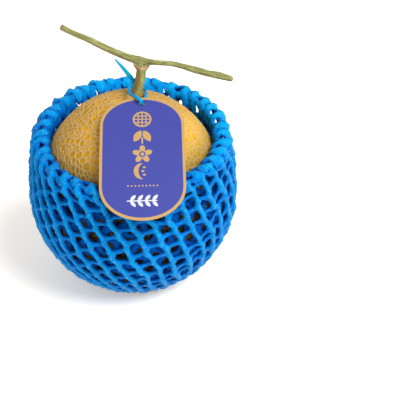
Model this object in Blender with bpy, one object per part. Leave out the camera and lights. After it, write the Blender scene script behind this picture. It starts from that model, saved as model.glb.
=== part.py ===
"""A muskmelon in a folded foam net, with its T-shaped stem, a hang tag and the tag's loop tie.

Metres, +Z up. The origin is the centre of the small flat spot that the melon rests on. The side
that the tag faces is the front, -Y. Heights with the word above are measured from the melon's centre.
"""

import math
import random

import bmesh
import bpy
from mathutils import Vector

# Melon
MELON_RADIUS = 0.069
MELON_HALF_HEIGHT = 0.076
REST_CUT = 0.0018  # depth of the flat spot
CENTRE = Vector((0, 0, MELON_HALF_HEIGHT - REST_CUT))

# Corky net raised over the melon's skin, with cells larger than life
NET_CELLS = 270
NET_RIDGE_HEIGHT = 0.0012
NET_RIDGE_HALF_WIDTH = 0.0018
NET_JITTER = 0.42  # of the cells' spacing
NET_SEED = 4

# Stem: places above the melon's centre, each with the stem's radius there
STEM_FOOT = Vector((0.0058, 0, 0))
STEM_FOOT_RADIUS = 0.0050
STEM_FOOT_HEIGHT = 0.0014
STEM_SEAT_GAP = 0.0003
STALK = [
    ((0.0068, 0.0003, 0.0797), 0.0035),
    ((0.0083, 0.0010, 0.0842), 0.0032),
    ((0.0096, 0.0020, 0.0912), 0.0030),
    ((0.0105, 0.0030, 0.0985), 0.0028),
]
VINE = [
    ((-0.0478, 0.0210, 0.1185), 0.0018),
    ((-0.0385, 0.0180, 0.1146), 0.0019),
    ((-0.0255, 0.0140, 0.1104), 0.0022),
    ((-0.0125, 0.0100, 0.1052), 0.0023),
    ((0.0008, 0.0060, 0.1012), 0.0025),
    ((0.0105, 0.0030, 0.0992), 0.0031),
    ((0.0180, 0.0010, 0.0994), 0.0019),
    ((0.0305, -0.0010, 0.0990), 0.0018),
    ((0.0390, -0.0030, 0.0978), 0.0019),
    ((0.0474, -0.0050, 0.0960), 0.0023),
    ((0.0562, -0.0070, 0.0942), 0.0022),
    ((0.0644, -0.0090, 0.0932), 0.0024),
    ((0.0720, -0.0110, 0.0917), 0.0019),
]
STEM_SIDES = 10
STEM_RIDGES = 5
STEM_RIDGE_SHARE = 0.13  # of the radius

# Foam net sleeve: one lattice sheet, up the melon's side, over the tilted fold and down outside
SLEEVE_COLUMNS = 20
SLEEVE_INNER_ROWS = 8
SLEEVE_OUTER_ROWS = 11
SLEEVE_THICKNESS = 0.0032
SLEEVE_CROSSING_REACH = 0.15  # half a crossing's size over the size of a cell
SLEEVE_INNER_OFFSET = 0.0040  # from the melon's skin to the middle of the sheet
SLEEVE_OUTER_OFFSET = 0.0080
SLEEVE_END_OFFSET = 0.0042
SLEEVE_INNER_END = math.radians(-44)  # angle below the melon's equator
SLEEVE_OUTER_END = math.radians(-62)
SLEEVE_TUCK = math.radians(-47)  # where the outer sheet starts to close on the melon
RIM_HALF_WIDTH = 0.0655
RIM_HALF_DEPTH = 0.0710
RIM_ABOVE = 0.0447
RIM_TILT = 0.0118  # how much lower the front of the fold is than its sides
FOLD_RADIUS = 0.0045
FOLD_LEAVE = 0.012  # how far below the fold the sheet leaves the melon

# Hang tag
TAG_WIDTH = 0.057
TAG_LENGTH = 0.0928
TAG_ARCH = 0.0235  # length of each rounded end
TAG_ARCH_POWER = 2.05
TAG_THICKNESS = 0.0008
TAG_TOP = Vector((0.0107, -0.0160, 0.0793))
TAG_TURN = math.radians(2.75)  # in plan, from -Y towards +X
TAG_SLOPE_TOP = math.radians(28.8)
TAG_SLOPE_BOTTOM = math.radians(43.6)
TAG_HOLE_RADIUS = 0.0022
TAG_HOLE_FROM_TOP = 0.005

# Loop tie: places above the melon's centre along the closed loop, then along its tail
TIE_RADIUS = 0.0011
TIE_SIDES = 8
TIE_LOOP = [
    (0.0034, 0.0052, 0.0842),
    (0.0018, 0.0012, 0.0822),
    (0.0008, -0.0050, 0.0806),
    (0.0032, -0.0125, 0.0806),
    (0.0072, -0.0186, 0.0809),
    (0.0103, -0.0219, 0.0796),
    (0.0109, -0.0206, 0.0770),
    (0.0110, -0.0188, 0.0750),
    (0.0116, -0.0143, 0.0760),
    (0.0124, -0.0085, 0.0770),
    (0.0131, -0.0030, 0.0783),
    (0.0139, 0.0022, 0.0806),
    (0.0122, 0.0063, 0.0828),
    (0.0080, 0.0078, 0.0844),
]
TIE_TAIL = [
    ((0.0034, 0.0052, 0.0842), 0.0010),
    ((0.0015, 0.0054, 0.0868), 0.0016),
    ((-0.0012, 0.0056, 0.0902), 0.0014),
    ((-0.0048, 0.0058, 0.0948), 0.0011),
    ((-0.0088, 0.0060, 0.0995), 0.0006),
]


def clear_scene():
    for old in list(bpy.data.objects):
        bpy.data.objects.remove(old, do_unlink=True)


def material(name, colour, roughness, metallic=0.0):
    made = bpy.data.materials.new(name)
    made.use_nodes = True
    shader = made.node_tree.nodes["Principled BSDF"]
    shader.inputs["Base Color"].default_value = (*colour, 1)
    shader.inputs["Roughness"].default_value = roughness
    shader.inputs["Metallic"].default_value = metallic
    return made


def object_from(name, mesh_data, finish=None):
    """Turns the bmesh into a closed object whose faces point out, shaded smooth."""
    bmesh.ops.recalc_face_normals(mesh_data, faces=mesh_data.faces)
    mesh = bpy.data.meshes.new(name)
    mesh_data.to_mesh(mesh)
    mesh_data.free()
    mesh.shade_smooth()
    mesh.set_sharp_from_angle(angle=math.radians(40))
    made = bpy.data.objects.new(name, mesh)
    bpy.context.scene.collection.objects.link(made)
    if finish:
        mesh.materials.append(finish)
    return made


def combine(body, other, operation):
    """Applies one Boolean to body, and removes the other object."""
    step = body.modifiers.new(operation.lower(), "BOOLEAN")
    step.operation = operation
    step.object = other
    bpy.context.view_layer.update()
    graph = bpy.context.evaluated_depsgraph_get()
    result = bpy.data.meshes.new_from_object(body.evaluated_get(graph))
    body.modifiers.clear()
    body.data = result
    bpy.data.objects.remove(other, do_unlink=True)


def add_ring(mesh_data, points):
    return [mesh_data.verts.new(point) for point in points]


def bridge(mesh_data, first, second):
    count = len(first)
    for i in range(count):
        j = (i + 1) % count
        mesh_data.faces.new((first[i], first[j], second[j], second[i]))


# Melon


def melon_skin(direction, height=0.0):
    """The point of the skin in this unit direction, raised by height, and flat at the resting spot."""
    skin = Vector(
        (direction.x * MELON_RADIUS, direction.y * MELON_RADIUS, direction.z * MELON_HALF_HEIGHT)
    )
    normal = Vector(
        (direction.x / MELON_RADIUS, direction.y / MELON_RADIUS, direction.z / MELON_HALF_HEIGHT)
    )
    point = CENTRE + skin + normal.normalized() * height
    point.z = max(point.z, 0.0)
    return point


def stem_direction():
    """The unit direction of the skin's point under the stem's foot."""
    share = STEM_FOOT.xy / MELON_RADIUS
    return Vector((share.x, share.y, math.sqrt(1 - share.length_squared)))


def spread_directions(count, jitter, seed, seat):
    """Unit directions spread evenly and then moved at random, with an even ring round the seat."""
    rng = random.Random(seed)
    golden = math.pi * (3 - math.sqrt(5))
    spacing = math.sqrt(4 * math.pi / count)
    ring_angle = 0.95 * spacing
    directions = []
    for i in range(count):
        z = 1 - 2 * (i + 0.5) / count
        across = math.sqrt(1 - z * z)
        even = Vector((across * math.cos(i * golden), across * math.sin(i * golden), z))
        shift = Vector([rng.uniform(-1, 1) for _ in range(3)]) * jitter * spacing
        direction = (even + shift).normalized()
        if direction.angle(seat) > ring_angle + 0.6 * spacing:
            directions.append(direction)
    side = seat.orthogonal().normalized()
    across = seat.cross(side)
    for k in range(6):
        turn = math.radians(60 * k)
        edge = side * math.cos(turn) + across * math.sin(turn)
        directions.append(seat * math.cos(ring_angle) + edge * math.sin(ring_angle))
    return directions + [seat.copy()]


def net_cells(directions):
    """The net's corners, as unit directions, and for each cell the indices of its corners in order."""
    hull = bmesh.new()
    for direction in directions:
        hull.verts.new(direction)
    bmesh.ops.convex_hull(hull, input=hull.verts)
    bmesh.ops.triangulate(hull, faces=hull.faces)
    hull.faces.index_update()
    corners = [face.calc_center_median().normalized() for face in hull.faces]
    cells = []
    for seed in hull.verts:
        out = seed.co.normalized()
        side = out.orthogonal().normalized()
        up = out.cross(side)
        around = [face.index for face in seed.link_faces]
        around.sort(key=lambda k: math.atan2(corners[k].dot(up), corners[k].dot(side)))
        cells.append(around)
    hull.free()
    return corners, cells


def build_melon(finish):
    directions = spread_directions(NET_CELLS, NET_JITTER, NET_SEED, stem_direction())
    corners, cells = net_cells(directions)
    skin = bmesh.new()
    crest = [skin.verts.new(melon_skin(corner, NET_RIDGE_HEIGHT)) for corner in corners]
    for cell in cells:
        middle = sum((corners[k] for k in cell), Vector()) / len(cell)
        floor = []
        for k in cell:
            reach = (corners[k] - middle).length * MELON_RADIUS
            share = max(0.4, 1 - NET_RIDGE_HALF_WIDTH / reach)
            inset = (middle + (corners[k] - middle) * share).normalized()
            floor.append(skin.verts.new(melon_skin(inset)))
        bridge(skin, [crest[k] for k in cell], floor)
        skin.faces.new(floor)
    return object_from("melon", skin, finish)


# Stem and tie


def smooth_path(stations, steps, closed=False):
    """Points and radii on a smooth curve through the stations, with this many steps between two."""
    count = len(stations)
    made = []
    spans = count if closed else count - 1

    def station(k):
        place, radius = stations[k % count] if closed else stations[min(max(k, 0), count - 1)]
        return Vector((*place, radius))

    for k in range(spans):
        p0, p1, p2, p3 = (station(k + d) for d in (-1, 0, 1, 2))
        for step in range(steps):
            t = step / steps
            made.append(
                p1
                + (p2 - p0) * 0.5 * t
                + (p0 - p1 * 2.5 + p2 * 2 - p3 * 0.5) * t**2
                + (p1 * 1.5 - p0 * 0.5 - p2 * 1.5 + p3 * 0.5) * t**3
            )
    if not closed:
        made.append(station(count - 1))
    return [(CENTRE + point.xyz, point.w) for point in made]


def tube(name, path, sides, ridges=0, ridge_share=0.0, closed=False, finish=None):
    """A tube along the path, round or ridged lengthwise, with flat ends unless it is closed."""
    count = len(path)
    mesh_data = bmesh.new()
    rings = []
    side = None
    first_tangent = (path[1][0] - path[0][0]).normalized()
    for i, (place, radius) in enumerate(path):
        before = path[(i - 1) % count][0] if closed or i else place
        after = path[(i + 1) % count][0] if closed or i < count - 1 else place
        tangent = (after - before).normalized()
        if side is None:
            side = first_tangent.orthogonal()
        side = (side - tangent * side.dot(tangent)).normalized()
        across = tangent.cross(side)
        ring = []
        for k in range(sides):
            turn = 2 * math.pi * k / sides
            reach = radius * (1 + ridge_share * math.cos(ridges * turn))
            ring.append(place + (side * math.cos(turn) + across * math.sin(turn)) * reach)
        rings.append(add_ring(mesh_data, ring))
    for first, second in zip(rings, rings[1:]):
        bridge(mesh_data, first, second)
    if closed:
        start = min(range(sides), key=lambda k: (rings[0][k].co - rings[-1][0].co).length)
        bridge(mesh_data, rings[-1], rings[0][start:] + rings[0][:start])
    else:
        mesh_data.faces.new(rings[0])
        mesh_data.faces.new(rings[-1])
    return object_from(name, mesh_data, finish)


def build_stem(finish):
    foot = [
        (tuple(melon_skin(stem_direction(), STEM_SEAT_GAP + height) - CENTRE), radius)
        for height, radius in ((0, STEM_FOOT_RADIUS), (STEM_FOOT_HEIGHT, 0.92 * STEM_FOOT_RADIUS))
    ]
    stalk = smooth_path(foot + STALK, 2)
    vine = smooth_path(VINE, 2)
    shape = {"sides": STEM_SIDES, "ridges": STEM_RIDGES, "ridge_share": STEM_RIDGE_SHARE}
    stem = tube("stem", vine, finish=finish, **shape)
    combine(stem, tube("stalk", stalk, **shape), "UNION")
    return stem


def build_tie(finish):
    loop = smooth_path([(place, TIE_RADIUS) for place in TIE_LOOP], 2, closed=True)
    tie = tube("tag_tie", loop, TIE_SIDES, closed=True, finish=finish)
    combine(tie, tube("tail", smooth_path(TIE_TAIL, 2), TIE_SIDES), "UNION")
    return tie


# Foam net


def melon_outline(angle, offset):
    """Radius and height above the centre on the melon's side outline, moved out by offset."""
    normal = Vector((math.cos(angle) / MELON_RADIUS, math.sin(angle) / MELON_HALF_HEIGHT))
    skin = Vector((MELON_RADIUS * math.cos(angle), MELON_HALF_HEIGHT * math.sin(angle)))
    return skin + normal.normalized() * offset


def between(start, end, count):
    return [start + (end - start) * i / count for i in range(count + 1)]


def sleeve_profile(azimuth):
    """Points of the sheet's middle from inner end to outer end, and the index of the fold's top."""
    across = math.sin(azimuth) / RIM_HALF_WIDTH
    along = math.cos(azimuth) / RIM_HALF_DEPTH
    fold = Vector((1 / math.hypot(across, along), RIM_ABOVE - RIM_TILT * math.cos(azimuth)))
    leave = math.asin((fold.y - FOLD_LEAVE) / MELON_HALF_HEIGHT)
    steps = 16
    points = [
        melon_outline(angle, SLEEVE_INNER_OFFSET)
        for angle in between(SLEEVE_INNER_END, leave, steps)
    ]
    top = len(points) + steps // 2
    for turn in between(math.pi, 0, steps):
        points.append(fold + Vector((math.cos(turn), math.sin(turn))) * FOLD_RADIUS)
    shoulder = points[-1]
    equator = MELON_RADIUS + SLEEVE_OUTER_OFFSET
    for t in between(0, 1, steps)[1:]:
        ease = math.sin(t * math.pi / 2)
        points.append(
            Vector((shoulder.x + (equator - shoulder.x) * ease, shoulder.y * (1 - t)))
        )
    for angle in between(0, SLEEVE_OUTER_END, 2 * steps)[1:]:
        tuck = max(0.0, (SLEEVE_TUCK - angle) / (SLEEVE_TUCK - SLEEVE_OUTER_END))
        offset = SLEEVE_OUTER_OFFSET + (SLEEVE_END_OFFSET - SLEEVE_OUTER_OFFSET) * tuck
        points.append(melon_outline(angle, offset))
    return points, top


def along_profile(points, top, row):
    """The profile's point at this row, counted from the inner end, evenly spaced on each side."""
    lengths = [0.0]
    for first, second in zip(points, points[1:]):
        lengths.append(lengths[-1] + (second - first).length)
    if row <= SLEEVE_INNER_ROWS:
        wanted = lengths[top] * row / SLEEVE_INNER_ROWS
    else:
        share = (row - SLEEVE_INNER_ROWS) / SLEEVE_OUTER_ROWS
        wanted = lengths[top] + (lengths[-1] - lengths[top]) * share
    wanted = min(max(wanted, 0.0), lengths[-1])
    k = max(i for i in range(len(points) - 1) if lengths[i] <= wanted)
    t = (wanted - lengths[k]) / (lengths[k + 1] - lengths[k])
    return points[k].lerp(points[k + 1], t)


def sleeve_point(azimuth, row):
    place = along_profile(*sleeve_profile(azimuth), row)
    return CENTRE + Vector((place.x * math.sin(azimuth), -place.x * math.cos(azimuth), place.y))


def build_foam_net(finish):
    rows = SLEEVE_INNER_ROWS + SLEEVE_OUTER_ROWS
    column = 2 * math.pi / SLEEVE_COLUMNS
    sheet = bmesh.new()
    crossings = {}
    for j in range(rows + 1):
        for i in range(SLEEVE_COLUMNS):
            azimuth = (i + 0.5 * (j % 2)) * column
            place = sleeve_point(azimuth, j)
            side = sleeve_point(azimuth + column / 2, j) - sleeve_point(azimuth - column / 2, j)
            up = sleeve_point(azimuth, min(j + 0.5, rows)) - sleeve_point(azimuth, max(j - 0.5, 0))
            up *= 2 if 0 < j < rows else 4
            out = up.cross(side).normalized() * SLEEVE_THICKNESS / 2
            reach = {
                "E": side * SLEEVE_CROSSING_REACH,
                "N": up * SLEEVE_CROSSING_REACH,
                "W": -side * SLEEVE_CROSSING_REACH,
                "S": -up * SLEEVE_CROSSING_REACH,
            }
            crossings[j, i] = {
                name: (sheet.verts.new(place + way + out), sheet.verts.new(place + way - out))
                for name, way in reach.items()
            }

    def wall(first, second):
        sheet.faces.new((first[0], second[0], second[1], first[1]))

    def both_faces(corners):
        sheet.faces.new([corner[0] for corner in corners])
        sheet.faces.new([corner[1] for corner in corners])

    for (j, i), here in crossings.items():
        both_faces([here[name] for name in "ENWS"])
        if j == 0:
            wall(here["S"], here["E"])
            wall(here["S"], here["W"])
        if j == rows:
            wall(here["N"], here["E"])
            wall(here["N"], here["W"])
            continue
        right = crossings[j + 1, (i + j % 2) % SLEEVE_COLUMNS]
        left = crossings[j + 1, (i + j % 2 - 1) % SLEEVE_COLUMNS]
        both_faces([here["E"], right["S"], right["W"], here["N"]])
        wall(here["E"], right["S"])
        wall(here["N"], right["W"])
        both_faces([here["N"], left["E"], left["S"], here["W"]])
        wall(here["N"], left["E"])
        wall(here["W"], left["S"])
    return object_from("foam_net", sheet, finish)


# Tag


def tag_point(along, across, height):
    """A point of the curved tag: along from its top end, across from its middle, height above it."""
    bend = (TAG_SLOPE_BOTTOM - TAG_SLOPE_TOP) / TAG_LENGTH
    slope = TAG_SLOPE_TOP + bend * along
    forward = (math.sin(slope) - math.sin(TAG_SLOPE_TOP)) / bend
    drop = (math.cos(TAG_SLOPE_TOP) - math.cos(slope)) / bend
    heading = Vector((math.sin(TAG_TURN), -math.cos(TAG_TURN), 0))
    side = Vector((math.cos(TAG_TURN), math.sin(TAG_TURN), 0))
    normal = heading * math.sin(slope) + Vector((0, 0, math.cos(slope)))
    return CENTRE + TAG_TOP + heading * forward - Vector((0, 0, drop)) + side * across + normal * height


def tag_half_width(along):
    depth = min(along, TAG_LENGTH - along, TAG_ARCH)
    share = max(0.0, 1 - (1 - depth / TAG_ARCH) ** TAG_ARCH_POWER)
    return TAG_WIDTH / 2 * share ** (1 / TAG_ARCH_POWER)


def build_tag(finish):
    arch_steps = 8
    straight_steps = 6
    arch = [TAG_ARCH * (1 - math.cos(t)) for t in between(0, math.pi / 2, arch_steps)]
    arch[0] = 0.0002
    straight = between(TAG_ARCH, TAG_LENGTH - TAG_ARCH, straight_steps)
    stations = arch + straight[1:-1] + [TAG_LENGTH - s for s in reversed(arch)]
    plate = bmesh.new()
    rings = []
    for along in stations:
        half = tag_half_width(along)
        corners = ((-half, -1), (half, -1), (half, 1), (-half, 1))
        rings.append(
            add_ring(
                plate, [tag_point(along, x, side * TAG_THICKNESS / 2) for x, side in corners]
            )
        )
    for first, second in zip(rings, rings[1:]):
        bridge(plate, first, second)
    plate.faces.new(rings[0])
    plate.faces.new(rings[-1])
    tag = object_from("hang_tag", plate, finish)
    ends = [tag_point(TAG_HOLE_FROM_TOP, 0, height) - CENTRE for height in (-0.003, 0.003)]
    cutter = [((end.x, end.y, end.z), TAG_HOLE_RADIUS) for end in ends]
    combine(tag, tube("hole", smooth_path(cutter, 1), 16), "DIFFERENCE")
    return tag


def main():
    clear_scene()
    build_melon(material("melon_skin", (0.55, 0.35, 0.11), 0.62))
    build_stem(material("dry_vine", (0.36, 0.37, 0.17), 0.7))
    build_foam_net(material("blue_foam", (0.003, 0.27, 0.70), 0.5))
    build_tag(material("violet_card", (0.09, 0.10, 0.46), 0.45))
    build_tie(material("light_blue_cord", (0.03, 0.32, 0.60), 0.4))


main()
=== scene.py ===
"""The looks of a muskmelon in its folded foam net, with its stem, hang tag and loop tie.

Metres, +Z up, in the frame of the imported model. The front, where the tag hangs, is -Y. Heights with
the word above are measured from the melon's centre.
"""

import random
from functools import partialmethod
from math import asin, atan2, cos, exp, hypot, pi, radians, sin, sqrt, tau

import bmesh
import bpy
import numpy as np
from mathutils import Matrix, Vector, geometry, noise


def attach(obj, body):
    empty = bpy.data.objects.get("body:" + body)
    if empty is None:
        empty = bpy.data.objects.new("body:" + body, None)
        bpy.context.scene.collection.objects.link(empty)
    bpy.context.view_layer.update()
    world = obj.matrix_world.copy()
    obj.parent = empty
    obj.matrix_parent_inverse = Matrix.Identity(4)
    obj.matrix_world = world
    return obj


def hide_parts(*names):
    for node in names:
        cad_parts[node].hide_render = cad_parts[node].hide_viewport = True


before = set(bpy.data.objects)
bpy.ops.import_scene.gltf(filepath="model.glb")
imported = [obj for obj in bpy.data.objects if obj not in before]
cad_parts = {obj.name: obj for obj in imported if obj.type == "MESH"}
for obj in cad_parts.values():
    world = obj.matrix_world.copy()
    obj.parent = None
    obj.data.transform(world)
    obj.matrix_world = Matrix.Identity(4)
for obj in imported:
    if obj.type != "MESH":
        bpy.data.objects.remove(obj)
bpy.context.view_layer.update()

# Melon
MELON_RADIUS = 0.069
MELON_HALF_HEIGHT = 0.076
REST_CUT = 0.0018  # of its height, taken off by the flat spot
CENTRE = Vector((0, 0, MELON_HALF_HEIGHT - REST_CUT))

# Corky net over the skin
NET_SPOTS = 5700  # before some are dropped
NET_DROPPED = 0.18
NET_JITTER = 0.74  # of the cells' spacing
NET_SEED = 11
SKIN_HEIGHT = -0.0006  # of the cells, over the skin's outline
RIDGE_HEIGHTS = (0.00030, 0.00060)
RIDGE_HALF_WIDTHS = (0.00052, 0.00104)
# Rings from a ridge's crest into a cell, as shares of its half width, of its height and of cork
RIDGE_RINGS = [(0.68, 0.95, 1.0), (1.0, 0.0, 0.0), (1.3, 0.0, 0.0)]
CORNER_STRETCH = 1.15  # of a ridge's width, from a cell's corner to its middle
CELL_LEFT = 0.34  # the least share of a cell that its ridges leave
RIDGE_FADE = 0.002  # from the stem's foot to ridges of full height
DARK_BELOW = 0.014  # above the centre, where the skin is painted dark olive, as painted shade under the sleeve
PALE_ABOVE = 0.052
RIGHT_SIDE = (0.005, 0.065)  # the X where the right side starts, and where it is full: its ridges are wider and its colours painted lighter and yellower, as painted light
RIPE_WIDER = 0.22  # of a ridge's width
RIGHT_SHADE_HIGHER = 0.007  # how much higher the painted shade under the sleeve reaches there
CRACK_SCALE = 260.0
CRACK_SHARE = 0.25  # of cork in the fine cracks across the cells
RIPE_CRACK_LESS = 0.15

# Colours of the rind
CELLS = (0.44, 0.21, 0.001), (0.60, 0.31, 0.002)
CELL_PATCH = (0.37, 0.20, 0.002)
# Painted light: lighter, yellower cells on the right side, where the key lamp falls
CELL_LIT = (0.58, 0.34, 0.002)
# Painted shade under the sleeve, for the cells and the cork
SLEEVE_SHADES = (0.045, 0.035, 0.004), (0.10, 0.085, 0.035)
CORKS = (0.40, 0.24, 0.078), (0.54, 0.34, 0.125)
CORK_PATCH = (0.525, 0.355, 0.17)
# Painted light: lighter cork on the right side, where the key lamp falls
CORK_LIT = (0.585, 0.36, 0.10)

# Stem, as places above the melon's centre, each with the radius there
STEM_FOOT = Vector((0.0058, 0, 0))
STEM_FOOT_RADIUS = 0.0050
STEM_FOOT_TAPER = 0.92
STEM_FOOT_HEIGHT = 0.0022
STEM_SEAT = SKIN_HEIGHT - 0.0001  # of the foot's underside, over the skin's outline
STALK = [
    (0.0067, 0.0003, 0.0797, 0.0037),
    (0.008, 0.001, 0.0842, 0.0035),
    (0.0094, 0.002, 0.0912, 0.0034),
    (0.0105, 0.003, 0.0985, 0.0031),
]
COLLAR = [
    (0.0097, 0.0021, 0.0918, 0.0029),
    (0.0099, 0.0025, 0.0938, 0.0042),
    (0.01, 0.0028, 0.0956, 0.0055),
    (0.0101, 0.003, 0.0972, 0.0056),
    (0.0103, 0.0031, 0.0992, 0.0032),
]
COLLAR_DEPTH = 0.62  # of its width
VINE = [
    (-0.0478, 0.021, 0.1185, 0.002),
    (-0.0385, 0.018, 0.1146, 0.0019),
    (-0.0255, 0.014, 0.1104, 0.0022),
    (-0.0125, 0.01, 0.1052, 0.0023),
    (0.0008, 0.006, 0.1012, 0.0025),
    (0.0105, 0.003, 0.0992, 0.0031),
    (0.018, 0.001, 0.0994, 0.0019),
    (0.0305, -0.001, 0.099, 0.0018),
    (0.039, -0.003, 0.0978, 0.0019),
    (0.0474, -0.005, 0.096, 0.0023),
    (0.0562, -0.007, 0.0942, 0.0022),
    (0.0644, -0.009, 0.0932, 0.0024),
    (0.072, -0.011, 0.0917, 0.0019),
]
VINE_END_DOME = 1.1  # of the vine's radius, at its right end
DOME_TURNS = [radians(25 * step) for step in (1, 2, 3)]
STEM_SIDES = 24
STEM_RIDGES = 5
STEM_RIDGE_SHARE = 0.12  # of the radius
STEM_WAVER_SCALE = 90  # noise scales are in waves for each metre
STEM_LUMP_SCALE = 260
STEM_GROOVE_SCALE = 40
STEM_LUMP_SHARE = 0.07
STEM_VOXEL = 0.00042

# Marks on the stem, with heights above the melon's centre
GRAIN_STRETCH = 0.12  # of the stem's length, for long streaks
SCAR_HEIGHT = 0.0953
SCAR_HALF_HEIGHT = 0.0017
SCAR_RISE_LEFT_OF = 0.0088
SCAR_RISE = 0.45  # for each metre to the left
SCAR_MIDDLE = (0.0104, 0.0028)
SCAR_REACH = 0.0085
CUT_DEPTH = 0.0022
SHADE_SIDE = (0.0006, -0.0022)  # X beside the stalk's middle, from no painted shade to full, on the stalk's left side
SHADE_HEIGHTS = (0.0962, 0.0932)  # the same upwards
FOOT_HEIGHTS = (0.0810, 0.0765)  # from no foot's brown to full
TEARS = {
    "slit": ((-0.0160, 0.0090, 0.6), (-0.0006, 0.00050, 0.5)),
    "crack": ((0.0155, 0.0019, 0.5), (0.0001, 0.00045, 0.5)),
}  # along X, then upwards on the vine: a tear's middle, its reach, and how wide its full part

# Colours of the stem
BARKS = (0.125, 0.12, 0.032), (0.26, 0.265, 0.092)
BARK_PALE = (0.33, 0.33, 0.15)
BARK_PATCH = (0.19, 0.14, 0.05)
SLIT_TAN = (0.33, 0.185, 0.07)
SCAR_TAN = (0.42, 0.26, 0.15)
FOOT_BROWN = (0.29, 0.18, 0.025)
# Painted shade: a darker brown for the stalk's left side
SHADE_BROWN = (0.20, 0.13, 0.022)
CRACK_BROWN = (0.10, 0.07, 0.035)
WOODS = (0.12, 0.05, 0.015), (0.32, 0.17, 0.06)

# Foam net: ropes run from its inner end over the fold to its outer end, and rungs join them
ROPES = 37
ROPE_STEPS = 21  # crossings along a rope, one row apart
ROPE_LEAN = radians(3.4)  # azimuth that a rope gains in a row
RUNG_DROP = 23  # rows that a line of rungs gains in one turn round the sleeve
ROPE_GAP = (tau - RUNG_DROP * ROPE_LEAN) / ROPES
ROPE, STEP = np.meshgrid(np.arange(ROPES), np.arange(ROPE_STEPS), indexing="ij")  # of a crossing
INNER_ROWS = 9.5
OUTER_ROWS = 12.5
ALL_ROWS = INNER_ROWS + OUTER_ROWS
END_ROWS = 0.5  # from a rope's end to its first crossing, at the least
CREST_LOCK = 0.7  # how far a crossing near the fold moves onto it
CREST_REACH = 1.6  # rows
INNER_OFFSET = 0.0027
OUTER_OFFSET = 0.0070
END_OFFSET = 0.0032
SLEEVE_SHIFT = 0.0010  # to the right
INNER_END = radians(-44)
OUTER_END = radians(-62)
TUCK = radians(-10)
RIM_HALF_WIDTH = 0.0655
RIM_HALF_DEPTH = 0.0710
RIM_ABOVE = 0.0441
RIM_TILT = 0.0125
RIM_SKEW = 0.0035  # how much higher the rim's back is on the left than on the right
FOLD_RADIUS = 0.0056
FOLD_LEAVE = 0.012
CROWDING = 0.5  # of a row's length, given up next to the fold
CROWDED_SHARE = 0.14  # of the rows on either side of the fold
PROFILE_STEPS = 25
AZIMUTH_SAMPLES = 148
ROW_SAMPLES = 16
PROBE_AZIMUTH = 0.02  # to either side, where the sheet's slopes are measured
PROBE_ROWS = 0.2
NORMAL_ROWS = 0.12
NORMAL_MARGIN = 0.15  # rows from a measured slope to the sheet's end, at the least

# Strands, in a control mesh that shrinks to two thirds when it is smoothed
ROPE_HALF_WIDTH = 0.0031
ROPE_HALF_DEPTH = 0.0027
ROPE_LIFT = 0.0007
RUNG_HALF_WIDTH = 0.0022
RUNG_HALF_DEPTH = 0.0019
RUNG_LIFT = -0.0010
SIDE_LIFT = 0.35  # of the rungs' lift, at a crossing's sides
RUNG_STAGGER = 0.0020  # along the rope, between its middle and each side's rung
ROPE_ZIGZAG = 0.0005  # to the side where a rung pulls the rope
WAIST = 0.94
ROPE_PARTS = 3
RUNG_PARTS = 2
END_RINGS = [(0.5, 0.85), (0.97, 0.85), (1.0, 0.45)]  # shares of the way to the end, and of width
FOLD_ROWS = 0.9  # how far the fold's changes reach to either side
FOLD_WIDER = 0.50
FOLD_WIDER_PARTS = [
    (0.70, radians(-110), 3),  # on the left, round to the back
    (0.50, radians(82), 4),  # on the right
]  # what is added to it, at which azimuth, and how narrow that part is
FOLD_DEEPER = 0.40
FOLD_STEADIER = 0.6
LAYER_BLEND = 0.8  # rows to either side of the fold, where the inner layer becomes the outer
INNER_WIDER = 0.25  # as the inner strands are pressed flat
INNER_SHALLOWER = 0.15
INNER_LIFT = 0.1  # of the outer strands'
OUTER_END_LOWER = 0.6
OUTER_END_ROWS = (5, 2)  # rows from the outer end, where that starts and is complete
INNER_END_THINNER = 0.2
INNER_END_ROWS = (5, 1)  # the same from the inner end
UNEVEN_ACROSS = (0.10, 0.05, 3.1)  # of the ropes' gap, as a slow waver and at random, and a seed
UNEVEN_ALONG = (0.16, 0.08, 9.7)  # the same of a row
UNEVEN_LIFT = 0.00022
UNEVEN_SIZE = 0.09
WAVER_SCALE = (3.2, 0.45)  # round the sleeve and along its rows
WAVER_SIZE = 1.6
LOOSER = 0.9  # of the strands' unevenness, where the net is loosest
LOOSEST = radians(110)  # the azimuth there, from the front to the right
FOAM_LUMP_HEIGHT = 0.0009
FOAM_LUMP_SCALE = 620
FOAM_SEED = 7

# Colours of the foam, with heights above the melon's centre
FOAMS = (0.0005, 0.19, 0.51), (0.001, 0.255, 0.60)
FOAM_PATCH = (0.0006, 0.20, 0.53)
# Painted light: a lighter, more cyan blue high on the fold, reaching lower on the right
FOAM_LIT = (0.0006, 0.325, 0.68)
# Painted shade for the strands' undersides and inner layer; the second, lighter one is used where the
# painted light high on the fold is full
FOAM_SHADES = (0.0002, 0.088, 0.42), (0.0004, 0.20, 0.56)
FOAM_GLINT = (0.22, 0.56, 0.84)
FOAM_SHEEN = (0.2, 0.6, 1, 1)
FOAM_HIGH_FROM = 0.042
FOAM_HIGH_ABOVE = 0.062
FOAM_HIGH_SLOPE = 0.12  # how much lower that is for each metre to the right
INNER_SHADE = 0.35  # painted shade of the inner layer, as a share of the crests' lightness
SHADE_RISE = 1.7

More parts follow.
